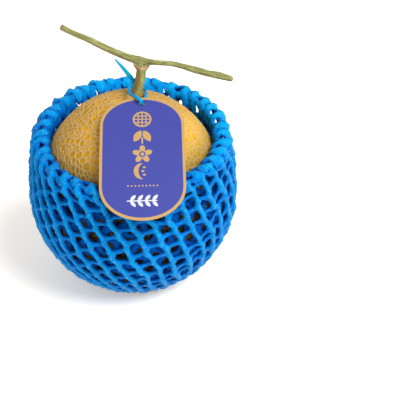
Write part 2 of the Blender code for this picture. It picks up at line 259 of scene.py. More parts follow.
# Hang tag
TAG_WIDTH = 0.057
TAG_LENGTH = 0.0928
TAG_ARCH = 0.0235
TAG_ARCH_POWER = 2.05
TAG_THICKNESS = 0.0008
TAG_TOP = Vector((0.0107, -0.0160, 0.0793))
TAG_TURN = radians(2.75)
TAG_SLOPE_TOP = radians(28.8)
TAG_SLOPE_BOTTOM = radians(43.6)
TAG_HOLE_RADIUS = 0.0022
TAG_HOLE_FROM_TOP = 0.005
TAG_BORDER = 0.00185
TAG_ARCH_STEPS = 22
TAG_FOLDS = 24  # rows of faces, so that the card can bend
POINT_GAP = 1e-7  # between points that are taken as one
MILLIMETRE = 0.001
PAINTS = {
    "violet_print": ((0.045, 0.053, 0.262), (0.039, 0.046, 0.238)),
    "tan_print": ((0.44, 0.27, 0.10), (0.38, 0.235, 0.085)),
    "white_print": ((0.56, 0.56, 0.62), (0.50, 0.50, 0.57)),
}
CARD, TAN, WHITE = range(len(PAINTS))

# Loop tie
TIE_RADIUS = 0.00122
TIE_SIDES = 16
TIE_LOOP = [
    (0.0034, 0.0052, 0.0842),
    (0.0018, 0.0012, 0.0822),
    (0.0008, -0.005, 0.0806),
    (0.0032, -0.0125, 0.0806),
    (0.0072, -0.0186, 0.0809),
    (0.0103, -0.0219, 0.0796),
    (0.0109, -0.0206, 0.077),
    (0.011, -0.0188, 0.075),
    (0.0116, -0.0143, 0.076),
    (0.0124, -0.0085, 0.0768),
    (0.0127, -0.0032, 0.0772),
    (0.0122, 0.0018, 0.0774),
    (0.0102, 0.0058, 0.0782),
    (0.0068, 0.0072, 0.0804),
]
TIE_TAIL = [
    (0.0034, 0.0052, 0.0842, 0.001),
    (0.0015, 0.0054, 0.0868, 0.0016),
    (-0.0012, 0.0056, 0.0902, 0.0014),
    (-0.0048, 0.0058, 0.0948, 0.0011),
    (-0.0088, 0.006, 0.0995, 0.0006),
]

# Colours of the tie
TIES = (0.0005, 0.20, 0.46), (0.001, 0.28, 0.53)
TIE_TAIL_COLOUR = (0.0005, 0.30, 0.46)
TIE_SHEEN = (0.2, 0.8, 1, 1)
TIE_TAIL_HEIGHTS = (0.084, 0.090)  # above the centre, where its colour starts and is full

# Camera
CAMERA_ELEVATION = radians(29)
CAMERA_DISTANCE = 0.600
CAMERA_RIGHT = 0.05092
CAMERA_UP = -0.00912
CAMERA_LENS = 71.05
CAMERA_NEAR = 0.01

# Floor and light
FLOOR_HALF_SIZE = 4
FLOORS = (0.91, 0.885, 0.85), (0.94, 0.915, 0.88)
FLOOR_GLOW = (1, 0.95, 0.86, 1)
FLOOR_GLOW_STRENGTH = 0.32
SKY_STRENGTH = 0.56
LAMPS = {
    "key": ((0.9, -0.7, 1.3), 1.1, 35),
    "fill": ((-0.8, -1.2, 0.8), 0.3, 4),
}  # where a lamp stands, its width and its power


def placed(name, data):
    """A new object with this data, in the scene."""
    made = bpy.data.objects.new(name, data)
    bpy.context.scene.collection.objects.link(made)
    return made


def make_camera():
    data = bpy.data.cameras.new("camera")
    data.lens = CAMERA_LENS
    data.clip_start = CAMERA_NEAR
    camera = placed("camera", data)
    ahead = Vector((0, cos(CAMERA_ELEVATION), -sin(CAMERA_ELEVATION)))
    up = Vector((0, sin(CAMERA_ELEVATION), cos(CAMERA_ELEVATION)))
    aim = CENTRE + Vector((CAMERA_RIGHT, 0, 0)) + up * CAMERA_UP
    camera.location = aim - ahead * CAMERA_DISTANCE
    camera.rotation_euler = (pi / 2 - CAMERA_ELEVATION, 0, 0)
    bpy.context.scene.camera = camera


# Shared mesh and material helpers


def object_from(name, mesh_data):
    """Turns the bmesh into an object whose faces point out, shaded smooth."""
    bmesh.ops.recalc_face_normals(mesh_data, faces=mesh_data.faces)
    mesh = bpy.data.meshes.new(name)
    mesh_data.to_mesh(mesh)
    mesh_data.free()
    mesh.shade_smooth()
    return placed(name, mesh)


def applied(body):
    """Replaces the object's mesh by the one that its modifiers make."""
    bpy.context.view_layer.update()
    graph = bpy.context.evaluated_depsgraph_get()
    result = bpy.data.meshes.new_from_object(body.evaluated_get(graph))
    body.modifiers.clear()
    body.data = result


def store(mesh, name, values, kind="FLOAT"):
    """Gives the mesh's vertices these values as an attribute."""
    key = "vector" if kind == "FLOAT_VECTOR" else "value"
    layer = mesh.attributes.new(name, kind, "POINT")
    layer.data.foreach_set(key, values.astype(np.float32).ravel())


def share_between(values, low, high):
    """How far the values have come from low to high, from 0 to 1."""
    return np.clip((values - low) / (high - low), 0, 1)


def lengths_along(points):
    """How far along the line through the points each of them lies."""
    return np.cumsum(np.linalg.norm(np.diff(points, axis=0, prepend=points[:1]), axis=1))


def unit(vectors):
    return vectors / np.linalg.norm(vectors, axis=-1, keepdims=True)


def finish_piece(piece, node, slot, *materials):
    for one in materials:
        piece.data.materials.append(one)
    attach(piece, "root")
    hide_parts(node)


class Surface:
    """A new material, its shader's uniform values, and short forms for its nodes."""

    def __init__(self, name, roughness, **settings):
        self.material = bpy.data.materials.new(name)
        self.material.use_nodes = True
        self.tree = self.material.node_tree
        self.shader = self.tree.nodes["Principled BSDF"]
        self.place = self.node("ShaderNodeTexCoord")["Object"]
        for socket, value in {"Roughness": roughness, **settings}.items():
            self.shader.inputs[socket.replace("_", " ")].default_value = value

    def node(self, kind, inputs=None, **settings):
        """The outputs of a new node, whose inputs are values or sockets."""
        made = self.tree.nodes.new(kind)
        for key, value in settings.items():
            setattr(made, key, value)
        for key, value in (inputs or {}).items():
            if isinstance(value, bpy.types.NodeSocket):
                self.tree.links.new(value, made.inputs[key])
            else:
                made.inputs[key].default_value = value
        return made.outputs

    def link(self, value, socket):
        self.tree.links.new(value, self.shader.inputs[socket])

    def axes(self):
        return self.node("ShaderNodeSeparateXYZ", {0: self.place})

    def noise(self, scale, detail=3.0, vector=None):
        inputs = {"Vector": vector or self.place, "Scale": scale, "Detail": detail}
        return self.node("ShaderNodeTexNoise", inputs)["Fac"]

    def attribute(self, name, output="Fac"):
        return self.node("ShaderNodeAttribute", attribute_name=name)[output]

    def ramp(self, value, low, high):
        """The value from low to high, spread smoothly over 0 to 1."""
        inputs = {"Value": value, "From Min": low, "From Max": high}
        return self.node("ShaderNodeMapRange", inputs, interpolation_type="SMOOTHSTEP")["Result"]

    def combine(self, operation, first, second):
        return self.node("ShaderNodeMath", {0: first, 1: second}, operation=operation)[0]

    plus = partialmethod(combine, "ADD")
    minus = partialmethod(combine, "SUBTRACT")
    times = partialmethod(combine, "MULTIPLY")

    def mix(self, share, first, second):
        """A colour between two, each a colour or a socket."""
        inputs = {0: share}
        for key, value in ((6, first), (7, second)):
            inputs[key] = value if isinstance(value, bpy.types.NodeSocket) else (*value, 1)
        return self.node("ShaderNodeMix", inputs, data_type="RGBA")[2]

    def dressed(self, colour, height, strength, distance):
        """The material with this colour and with bumps from this height."""
        inputs = {"Height": height, "Strength": strength, "Distance": distance}
        self.link(colour, "Base Color")
        self.link(self.node("ShaderNodeBump", inputs)["Normal"], "Normal")
        return self.material


# Melon


def melon_skin(direction, height=0.0):
    """The skin's point in this unit direction, raised by height, and flat at the resting spot."""
    half_sizes = (MELON_RADIUS, MELON_RADIUS, MELON_HALF_HEIGHT)
    skin = Vector([share * half for share, half in zip(direction, half_sizes)])
    normal = Vector([share / half for share, half in zip(direction, half_sizes)])
    point = CENTRE + skin + normal.normalized() * height
    point.z = max(point.z, 0.0)
    return point


def stem_direction():
    """The unit direction of the skin's point under the stem's foot."""
    share = STEM_FOOT.xy / MELON_RADIUS
    return Vector((share.x, share.y, sqrt(1 - share.length_squared)))


def spread_directions():
    """Unit directions spread evenly, moved at random, and thinned at random."""
    rng = random.Random(NET_SEED)
    golden = pi * (3 - sqrt(5))
    spacing = sqrt(4 * pi / NET_SPOTS)
    directions = []
    for i in range(NET_SPOTS):
        z = 1 - 2 * (i + 0.5) / NET_SPOTS
        across = sqrt(1 - z * z)
        even = Vector((across * cos(i * golden), across * sin(i * golden), z))
        shift = Vector([rng.uniform(-1, 1) for _ in range(3)]) * NET_JITTER * spacing
        if rng.random() > NET_DROPPED:
            directions.append((even + shift).normalized())
    return directions


def net_cells(directions):
    """The net's corners as unit directions, and each cell's corners as indices in order."""
    hull = bmesh.new()
    for direction in directions:
        hull.verts.new(direction)
    bmesh.ops.convex_hull(hull, input=hull.verts)
    bmesh.ops.triangulate(hull, faces=hull.faces)
    hull.faces.index_update()
    corners = [face.calc_center_median().normalized() for face in hull.faces]
    cells = []
    for seed in hull.verts:
        out = seed.co.normalized()
        side = out.orthogonal().normalized()
        up = out.cross(side)
        around = [face.index for face in seed.link_faces]
        around.sort(key=lambda k: atan2(corners[k].dot(up), corners[k].dot(side)))
        if around:
            cells.append(around)
    hull.free()
    return corners, cells


def build_melon():
    rng = random.Random(NET_SEED + 1)
    corners, cells = net_cells(spread_directions())
    seat = melon_skin(stem_direction())
    skin = bmesh.new()
    net = skin.verts.layers.float.new("net")
    tone = skin.verts.layers.float.new("tone")

    def add(direction, rise, cork, shade):
        """A vertex raised by this much, but less beside the stem's foot and not under it."""
        gap = (melon_skin(direction) - seat).length
        fade = min(1.0, max(0.0, (gap - STEM_FOOT_RADIUS) / RIDGE_FADE))
        vertex = skin.verts.new(melon_skin(direction, SKIN_HEIGHT + rise * fade))
        vertex[net] = cork
        vertex[tone] = shade
        return vertex

    heights = [rng.uniform(*RIDGE_HEIGHTS) for _ in corners]
    rightward = share_between(np.array([corner.x for corner in corners]) * MELON_RADIUS, *RIGHT_SIDE)
    widths = [rng.uniform(*RIDGE_HALF_WIDTHS) * wider for wider in (1 + RIPE_WIDER * rightward).tolist()]
    crest = [add(corner, height, 1.0, 0.5) for corner, height in zip(corners, heights)]
    for cell in cells:
        middle = sum((corners[k] for k in cell), Vector()) / len(cell)
        shade = rng.random()
        rings = [[crest[k] for k in cell]]
        for inset, rise, cork in RIDGE_RINGS:
            ring = []
            for k in cell:
                reach = (corners[k] - middle).length * MELON_RADIUS
                kept = max(CELL_LEFT, 1 - inset * widths[k] * CORNER_STRETCH / reach)
                place = (middle + (corners[k] - middle) * kept).normalized()
                ring.append(add(place, heights[k] * rise, cork, shade))
            rings.append(ring)
        for first, second in zip(rings, rings[1:]):
            bridge(skin, first, second)
        skin.faces.new(rings[-1])
    return object_from("melon_rind", skin)


def rind_material():
    look = Surface("netted_rind", 0.6, Specular_IOR_Level=0.1)
    fine = look.noise(1500, 4)
    medium = look.noise(420)
    large = look.noise(45)
    net = look.attribute("net")
    tone = look.attribute("tone")
    rough_net = look.plus(net, look.times(medium, 0.5))
    place = look.axes()
    rightward = look.ramp(place["X"], *RIGHT_SIDE)
    inputs = {"Vector": look.place, "Scale": CRACK_SCALE}
    edge = look.node("ShaderNodeTexVoronoi", inputs, feature="DISTANCE_TO_EDGE")["Distance"]
    uncracked = look.ramp(edge, 0.02, 0.08)
    share = look.minus(CRACK_SHARE, look.times(rightward, RIPE_CRACK_LESS))
    crack = look.times(share, look.minus(1.0, uncracked))
    cork = look.combine("MAXIMUM", look.ramp(rough_net, 0.5, 0.85), crack)
    cell = look.mix(tone, *CELLS)
    cell = look.mix(look.ramp(large, 0.45, 0.7), cell, CELL_PATCH)
    # Painted light: the cells are painted lighter and yellower on the right side
    cell = look.mix(rightward, cell, CELL_LIT)
    tan = look.mix(fine, *CORKS)
    tan = look.mix(look.ramp(medium, 0.5, 0.75), tan, CORK_PATCH)
    # Painted light: the cork is painted lighter on the right side
    tan = look.mix(rightward, tan, CORK_LIT)
    # Painted shade: below these heights the skin is painted dark under the sleeve, reaching higher on
    # the right side
    height = look.minus(place["Z"], look.times(rightward, RIGHT_SHADE_HIGHER))
    bare = look.ramp(height, CENTRE.z + DARK_BELOW, CENTRE.z + PALE_ABOVE)
    sleeve_shade = look.mix(cork, *SLEEVE_SHADES)
    colour = look.mix(bare, sleeve_shade, look.mix(cork, cell, tan))
    inputs = {"Value": cork, "To Min": 0.42, "To Max": 0.75}
    look.link(look.node("ShaderNodeMapRange", inputs)["Result"], "Roughness")
    return look.dressed(colour, look.times(fine, cork), 0.6, 0.0003)


# Tubes


def bridge(mesh_data, first, second):
    count = len(first)
    for i in range(count):
        j = (i + 1) % count
        mesh_data.faces.new((first[i], first[j], second[j], second[i]))


def smooth_path(stations, steps, closed=False):
    """Points and radii on a smooth curve through the stations, with this many steps between two."""
    count = len(stations)
    made = []
    spans = count if closed else count - 1

    def station(k):
        return Vector(stations[k % count if closed else min(max(k, 0), count - 1)])

    for k in range(spans):
        p0, p1, p2, p3 = (station(k + d) for d in (-1, 0, 1, 2))
        for step in range(steps):
            t = step / steps
            made.append(
                p1
                + (p2 - p0) * 0.5 * t
                + (p0 - p1 * 2.5 + p2 * 2 - p3 * 0.5) * t**2
                + (p1 * 1.5 - p0 * 0.5 - p2 * 1.5 + p3 * 0.5) * t**3
            )
    if not closed:
        made.append(station(count - 1))
    return [(CENTRE + point.xyz, point.w) for point in made]


def add_tube(mesh_data, path, sides, reach=None, closed=False, flatten=1.0, round_ends=(0, 0)):
    """A tube along the path. reach(place, turn) scales its radius, and flatten its Y depth."""
    count = len(path)
    rings = []
    side = None
    first_tangent = (path[1][0] - path[0][0]).normalized()
    for i, (place, radius) in enumerate(path):
        before = path[(i - 1) % count][0] if closed or i else place
        after = path[(i + 1) % count][0] if closed or i < count - 1 else place
        tangent = (after - before).normalized()
        if side is None:
            side = first_tangent.orthogonal()
        side = (side - tangent * side.dot(tangent)).normalized()
        across = tangent.cross(side)
        ring = []
        for k in range(sides):
            turn = tau * k / sides
            scale = reach(place, turn) if reach else 1
            arm = (side * cos(turn) + across * sin(turn)) * radius * scale
            arm.y *= flatten
            ring.append(mesh_data.verts.new(place + arm))
        rings.append(ring)
    for first, second in zip(rings, rings[1:]):
        bridge(mesh_data, first, second)
    if closed:
        start = min(range(sides), key=lambda k: (rings[0][k].co - rings[-1][0].co).length)
        bridge(mesh_data, rings[-1], rings[0][start:] + rings[0][:start])
        return
    for end, inward, dome in ((0, 1, round_ends[0]), (-1, -2, round_ends[1])):
        middle, radius = path[end]
        way = (middle - path[inward][0]).normalized()
        rim = rings[end]
        for turn in DOME_TURNS if dome else ():
            tip = middle + way * dome * radius * sin(turn)
            arms = [v.co - middle for v in rings[end]]
            shrunk = [mesh_data.verts.new(tip + arm * cos(turn)) for arm in arms]
            bridge(mesh_data, rim, shrunk)
            rim = shrunk
        mesh_data.faces.new(rim)


# Stem


def ridged(place, turn):
    """The share of the stem's radius at this place and turn, with ridges along the stem."""
    waver = noise.noise(place * STEM_WAVER_SCALE)
    ridge = cos(STEM_RIDGES * turn + 2.0 * waver) * (0.7 + 0.6 * waver)
    around = Vector((cos(turn), sin(turn), 0))
    lump = noise.noise(place * STEM_LUMP_SCALE + around * 1.3)
    groove = noise.noise(place * STEM_GROOVE_SCALE + around * 4.0)
    return 1 + STEM_RIDGE_SHARE * ridge + STEM_LUMP_SHARE * (lump + groove)


def build_stem():
    foot = [
        (*(melon_skin(stem_direction(), STEM_SEAT + height) - CENTRE), STEM_FOOT_RADIUS * taper)
        for height, taper in ((0, 1), (STEM_FOOT_HEIGHT, STEM_FOOT_TAPER))
    ]
    stalk = smooth_path(foot + STALK, steps=6)
    vine = smooth_path(VINE, steps=10)
    collar = smooth_path(COLLAR, steps=4)
    shape = bmesh.new()
    add_tube(shape, stalk, STEM_SIDES, ridged)
    add_tube(shape, vine, STEM_SIDES, ridged, round_ends=(0, VINE_END_DOME))
    add_tube(shape, collar, STEM_SIDES, ridged, flatten=COLLAR_DEPTH)
    stem = object_from("stem_vine", shape)
    join = stem.modifiers.new("join", "REMESH")
    join.mode = "VOXEL"
    join.voxel_size = STEM_VOXEL
    join.use_smooth_shade = True
    soften = stem.modifiers.new("soften", "SMOOTH")
    soften.factor = 0.5
    soften.iterations = 1
    applied(stem)
    stem.data.shade_smooth()
    paint_stem(stem.data, stalk, vine)
    return stem


def near(values, middle, reach, flat):
    """1 near the middle, the wider the more flat it is, falling to 0 away from it."""
    return np.clip(1 + flat - np.abs(values - middle) / reach, 0, 1)


def paint_stem(mesh, stalk, vine):
    """Stores each vertex's place in the grain, and how much it belongs to each mark."""
    places = np.empty(len(mesh.vertices) * 3, np.float32)
    mesh.vertices.foreach_get("co", places)
    places = places.reshape(-1, 3)
    path = np.array([place[:] for place, _ in stalk + vine])
    reach = lengths_along(path)
    nearest = np.argmin(np.linalg.norm(places[:, None] - path[None], axis=2), axis=1)
    arm = places - path[nearest]
    on_stalk = nearest < len(stalk)
    sides = np.where(on_stalk[:, None], arm[:, :2], np.stack((arm[:, 1], arm[:, 2] + arm[:, 0]), 1))
    along = reach[nearest, None] * GRAIN_STRETCH
    store(mesh, "grain", np.concatenate((along, sides), 1), "FLOAT_VECTOR")

    x = places[:, 0]
    height = places[:, 2] - CENTRE.z
    scar_height = SCAR_HEIGHT + SCAR_RISE * np.maximum(0, SCAR_RISE_LEFT_OF - x)
    scar = near(height, scar_height, SCAR_HALF_HEIGHT, 0)
    scar *= np.hypot(x - SCAR_MIDDLE[0], places[:, 1] - SCAR_MIDDLE[1]) < SCAR_REACH
    tip = np.array(vine[0][0][:])
    way = np.array((vine[1][0] - vine[0][0]).normalized()[:])
    # Painted shade on the stalk's left side, below the collar
    side_shade = share_between(arm[:, 0], *SHADE_SIDE) * share_between(height, *SHADE_HEIGHTS)
    marks = {
        "scar": scar,
        "cut": share_between((places - tip) @ way, CUT_DEPTH, 0),
        "foot": share_between(height, *FOOT_HEIGHTS),
        "side_shade": on_stalk * side_shade,
    }
    for name, (along, up) in TEARS.items():
        marks[name] = ~on_stalk * near(x, *along) * near(arm[:, 2], *up) * (arm[:, 1] < 0)
    for name, values in marks.items():
        store(mesh, name, values)


def stem_material():
    look = Surface("dry_vine_skin", 0.7, Specular_IOR_Level=0.2)
    grain = look.attribute("grain", "Vector")
    streaks = look.noise(1500, 4, grain)
    broad = look.noise(600, 2, grain)
    fine = look.noise(2400, 3)
    patches = look.noise(130, 3)

    def marked(colour, name, low, high, paint, rough=None, share=0):
        """The colour under a mark's paint. A share of rough noise breaks up its edge."""
        mark = look.attribute(name)
        if rough is not None:
            mark = look.plus(mark, look.times(rough, share))
        return look.mix(look.ramp(mark, low, high), colour, paint)

    colour = look.mix(look.ramp(streaks, 0.35, 0.65), *BARKS)
    colour = look.mix(look.ramp(broad, 0.5, 0.72), colour, BARK_PALE)
    colour = marked(colour, "slit", 0.85, 1.25, SLIT_TAN, patches, 0.9)
    colour = look.mix(look.ramp(patches, 0.62, 0.78), colour, BARK_PATCH)
    colour = marked(colour, "scar", 0.45, 0.75, SCAR_TAN, patches, 0.4)
    colour = marked(colour, "foot", 0.2, 1.0, FOOT_BROWN)
    # Painted shade: the stalk's left side in a darker brown
    colour = marked(colour, "side_shade", 0.4, 0.95, SHADE_BROWN, streaks, 0.5)
    colour = marked(colour, "crack", 0.4, 0.9, CRACK_BROWN)
    wood = look.mix(look.ramp(fine, 0.4, 0.6), *WOODS)
    colour = marked(colour, "cut", 0.25, 0.55, wood)
    height = look.plus(streaks, look.times(fine, 0.4))
    return look.dressed(colour, height, 0.7, 0.0004)


# Foam net


def melon_outline(angle, offset):
    """Radius and height above the centre on the melon's side outline, moved out by offset."""
    half_sizes = np.array((MELON_RADIUS, MELON_HALF_HEIGHT))
    around = np.stack((np.cos(angle), np.sin(angle)), -1)
    return around * half_sizes + unit(around / half_sizes) * offset


def crowded(share):
    """The share of the way from the fold to an end for a share of the rows."""
    given = share - CROWDING * CROWDED_SHARE * (1 - np.exp(-share / CROWDED_SHARE))
    whole = 1 - CROWDING * CROWDED_SHARE * (1 - exp(-1 / CROWDED_SHARE))
    return given / whole


def sleeve_profile(azimuth):
    """Radius and height of the sheet from its inner end to its outer end, row by row."""
    across = sin(azimuth) / RIM_HALF_WIDTH
    along = cos(azimuth) / RIM_HALF_DEPTH
    rise = RIM_ABOVE - RIM_TILT * cos(azimuth)
    rise -= RIM_SKEW * sin(azimuth) * (1 - cos(azimuth)) / 2
    fold = np.array((1 / hypot(across, along), rise))
    leave = asin((fold[1] - FOLD_LEAVE) / MELON_HALF_HEIGHT)
    inner = melon_outline(np.linspace(INNER_END, leave, PROFILE_STEPS), INNER_OFFSET)
    turn = np.linspace(pi, 0, PROFILE_STEPS)
    loop = fold + FOLD_RADIUS * np.stack((np.cos(turn), np.sin(turn)), -1)
    t = np.linspace(0, 1, PROFILE_STEPS)[1:]
    shoulder = loop[-1]
    swing = (MELON_RADIUS + OUTER_OFFSET - shoulder[0]) * np.sin(t * pi / 2)
    side = np.stack((shoulder[0] + swing, shoulder[1] * (1 - t)), -1)
    angle = np.linspace(0, OUTER_END, 2 * PROFILE_STEPS)[1:]
    tuck = share_between(angle, TUCK, OUTER_END)
    offset = OUTER_OFFSET + (END_OFFSET - OUTER_OFFSET) * tuck
    under = melon_outline(angle, offset[:, None])
    points = np.concatenate((inner, loop, side, under))
    lengths = lengths_along(points)
    top = lengths[PROFILE_STEPS + PROFILE_STEPS // 2]
    inside = top * (1 - crowded(np.linspace(1, 0, int(INNER_ROWS * ROW_SAMPLES) + 1)))
    outside = crowded(np.linspace(0, 1, int(OUTER_ROWS * ROW_SAMPLES) + 1)[1:])
    wanted = np.concatenate((inside, top + (lengths[-1] - top) * outside))
    return np.stack([np.interp(wanted, lengths, points[:, k]) for k in (0, 1)], -1)


class Sheet:
    """The smooth sheet that the foam strands follow, as places for azimuths and rows."""

    def __init__(self):
        turns = np.arange(AZIMUTH_SAMPLES) * tau / AZIMUTH_SAMPLES
        self.table = np.array([sleeve_profile(turn) for turn in turns])

    def place(self, azimuth, row):
        u = (azimuth / tau * AZIMUTH_SAMPLES) % AZIMUTH_SAMPLES
        v = np.clip(row, 0, ALL_ROWS - 1e-6) * ROW_SAMPLES
        i = u.astype(int) % AZIMUTH_SAMPLES
        j = v.astype(int)
        a = (u - np.floor(u))[..., None]
        b = (v - j)[..., None]
        k = (i + 1) % AZIMUTH_SAMPLES
        here = self.table[i, j] * (1 - b) + self.table[i, j + 1] * b
        there = self.table[k, j] * (1 - b) + self.table[k, j + 1] * b
        radius, height = np.moveaxis(here * (1 - a) + there * a, -1, 0)
        x = radius * np.sin(azimuth) + SLEEVE_SHIFT
        return np.stack((x, -radius * np.cos(azimuth), CENTRE.z + height), -1)

    def steps(self, azimuth, row, rows):
        """The ways on the sheet over a little azimuth, and over these rows, to either side."""
        side = self.place(azimuth + PROBE_AZIMUTH, row) - self.place(azimuth - PROBE_AZIMUTH, row)
        return side, self.place(azimuth, row + rows) - self.place(azimuth, row - rows)

    def scale(self, azimuth, row):
        """Metres for each radian of azimuth and for each row."""
        side, up = (np.linalg.norm(way, axis=-1) for way in self.steps(azimuth, row, PROBE_ROWS))
        return np.stack((side / (2 * PROBE_AZIMUTH), up / (2 * PROBE_ROWS)), -1)

    def above(self, azimuth, row, height):
        """Places at this height over the sheet, on the side that is out once it is folded."""
        inside = np.clip(row, NORMAL_MARGIN, ALL_ROWS - NORMAL_MARGIN)
        side, up = self.steps(azimuth, inside, NORMAL_ROWS)
        return self.place(azimuth, row) + unit(np.cross(up, side)) * height[..., None]


CREST = {
    "C_o": 1.0, "C_i": 0.0, "E": 0.35, "N": 0.35, "W": 0.35, "S": 0.35, "EN_o": 1.0, "EN_i": 0.0,
    "NW_o": 0.45, "NW_i": 0.0, "WS_o": 1.0, "WS_i": 0.0, "SE_o": 0.45, "SE_i": 0.0,
}  # how far out each corner of a crossing lies, for its painted shade: the further in, the darker
ROPE_OUT = ("E", "EN_o", "N", "EN_i")
ROPE_IN = ("S", "WS_o", "W", "WS_i")
RUNG_OUT = ("N", "NW_o", "W", "NW_i")
RUNG_IN = ("E", "SE_o", "S", "SE_i")


def crossing_corners(way, metres, wide, deep, raised):
    """A crossing's corners against its middle, as azimuth, row and height, by name.

    way is the rope's direction in azimuth and rows, metres what one of each comes to, and raised
    the share of the lift. A rung leaves lower down the rope on its left side, where N and W are.
    """
    ahead = unit(way * metres)
    left = np.stack((-ahead[..., 1], ahead[..., 0]), -1)

    def corner(along, across, height):
        flat = (ahead * along + left * across) * wide / metres
        return np.concatenate((flat, height * deep), -1)

    w, e, t, z = ROPE_HALF_WIDTH, RUNG_STAGGER, RUNG_HALF_WIDTH, ROPE_ZIGZAG
    rope_top, rope_base = (ROPE_LIFT * raised + d for d in (ROPE_HALF_DEPTH, -ROPE_HALF_DEPTH))
    rung_top, rung_base = (RUNG_LIFT * raised + d for d in (RUNG_HALF_DEPTH, -RUNG_HALF_DEPTH))
    level = RUNG_LIFT * raised * SIDE_LIFT
    corners = {"C_o": corner(0, 0, rope_top), "C_i": corner(0, 0, rung_base)}
    for k, right, rope, left_side, rung in ((1, "E", "EN", "N", "NW"), (-1, "W", "WS", "S", "SE")):
        corners[right] = corner(k * (t - e), k * (z - w), level)
        corners[left_side] = corner(k * (t + e), k * (z + w), level)
        corners[rope + "_o"] = corner(k * t, k * z, rope_top)
        corners[rope + "_i"] = corner(k * t, k * z, rope_base)
        corners[rung + "_o"] = corner(k * e, k * w, rung_top)
        corners[rung + "_i"] = corner(k * e, k * w, rung_base)
    return corners


def waver(azimuth, row, seed):
    """A slow waver over the sheet, the same at neighbours, from about -1 to 1."""
    turn, rise = WAVER_SCALE
    values = [
        noise.noise(Vector((cos(a) * turn, sin(a) * turn + r * rise, seed)))
        for a, r in zip(azimuth.ravel(), row.ravel())
    ]
    return np.array(values).reshape(azimuth.shape) * WAVER_SIZE


def lay_out_crossings():
    """The crossings' azimuths and rows, and the step of the next rope where each rung ends."""
    drop = RUNG_DROP / ROPES
    first = np.floor(np.arange(ROPES + 1) * drop).astype(int) + 1
    azimuth = ROPE * ROPE_GAP + (STEP + first[:-1, None]) * ROPE_LEAN
    row = STEP + (first[:-1] - np.arange(ROPES) * drop)[:, None] + END_ROWS
    nearest = row - INNER_ROWS
    slack = np.take_along_axis(nearest, np.abs(nearest).argmin(1)[:, None], 1)
    row = row - CREST_LOCK * slack * np.exp(-((nearest / CREST_REACH) ** 2))
    return azimuth, row, STEP + np.diff(first)[ROPE - 1]


def make_uneven(azimuth, row):
    """Moved azimuths and rows, with lift, width, depth, raised share and outer share to each."""
    rng = np.random.default_rng(FOAM_SEED)
    fold = np.exp(-(((row - INNER_ROWS) / FOLD_ROWS) ** 2))
    outside = share_between(row, INNER_ROWS - LAYER_BLEND, INNER_ROWS + LAYER_BLEND)
    loose = 1 + LOOSER * (1 + np.cos(azimuth - LOOSEST)) / 2
    steady = (1 - FOLD_STEADIER * fold) * loose

    def draw():
        return rng.uniform(-1, 1, azimuth.shape)

    across, along = (
        (slow * waver(azimuth, row, seed) + quick * draw()) * steady
        for slow, quick, seed in (UNEVEN_ACROSS, UNEVEN_ALONG)
    )
    azimuth = azimuth + across * ROPE_GAP
    row = row + along
    lift = UNEVEN_LIFT * loose * draw()
    size = UNEVEN_SIZE * loose * draw()
    wider = FOLD_WIDER
    for added, most_at, narrow in FOLD_WIDER_PARTS:
        wider = wider + added * ((1 + np.cos(azimuth - most_at)) / 2) ** narrow
    wide = 1 + INNER_WIDER * (1 - outside) + wider * fold + size
    deep = 1 - INNER_SHALLOWER * (1 - outside) + FOLD_DEEPER * fold + size
    deep *= 1 - INNER_END_THINNER * share_between(row, *INNER_END_ROWS)
    raised = INNER_LIFT + (1 - INNER_LIFT) * outside
    raised *= 1 - OUTER_END_LOWER * share_between(ALL_ROWS - row, *OUTER_END_ROWS)
    return azimuth, row, lift, wide, deep, raised, outside


class Cage:
    """The strands' control mesh: corners as azimuth, row and height, crests, and faces."""

    def __init__(self):
        self.corners = []
        self.crests = []
        self.faces = []

    def add(self, corners, crests):
        """Adds the corners with their crests, and returns their indices."""
        first = sum(len(part) for part in self.corners)
        self.corners.append(corners.reshape(-1, 3))
        self.crests.append(crests.ravel())
        return first + np.arange(crests.size)

    def quads(self, *indices):
        self.faces.append(np.stack([one.ravel() for one in indices], 1))

    def tube(self, rings):
        for near_ring, far_ring in zip(rings, rings[1:]):
            for k in range(4):
                j = (k + 1) % 4
                self.quads(near_ring[k], near_ring[j], far_ring[j], far_ring[k])

    def ring(self, around, crests, width, travel=0):
        """New corners at this share of the width of the ring around them, moved by travel."""
        axis = sum(around) / 4
        corners = [axis + travel + (one - axis) * width for one in around]
        return [self.add(corner, crest) for corner, crest in zip(corners, crests)]

    def strand(self, start, goal, parts):
        """A tube between two rings of indices, corners and crests, pulled in between its parts."""
        rings = [start[0]]
        for k in range(1, parts):
            t = k / parts
            between = [a * (1 - t) + b * t for a, b in zip(start[1], goal[1])]
            rings.append(self.ring(between, start[2], WAIST))
        self.tube(rings + [goal[0]])

    def body(self, name, sheet):
        """The mesh on the sheet as an object, with the crests as its attribute."""
        places = sheet.above(*np.concatenate(self.corners).T)
        mesh = bpy.data.meshes.new(name)
        mesh.from_pydata(places.tolist(), [], np.concatenate(self.faces).tolist())
        store(mesh, "crest", np.concatenate(self.crests))
        mesh_data = bmesh.new()
        mesh_data.from_mesh(mesh)
        bpy.data.meshes.remove(mesh)
        return object_from(name, mesh_data)


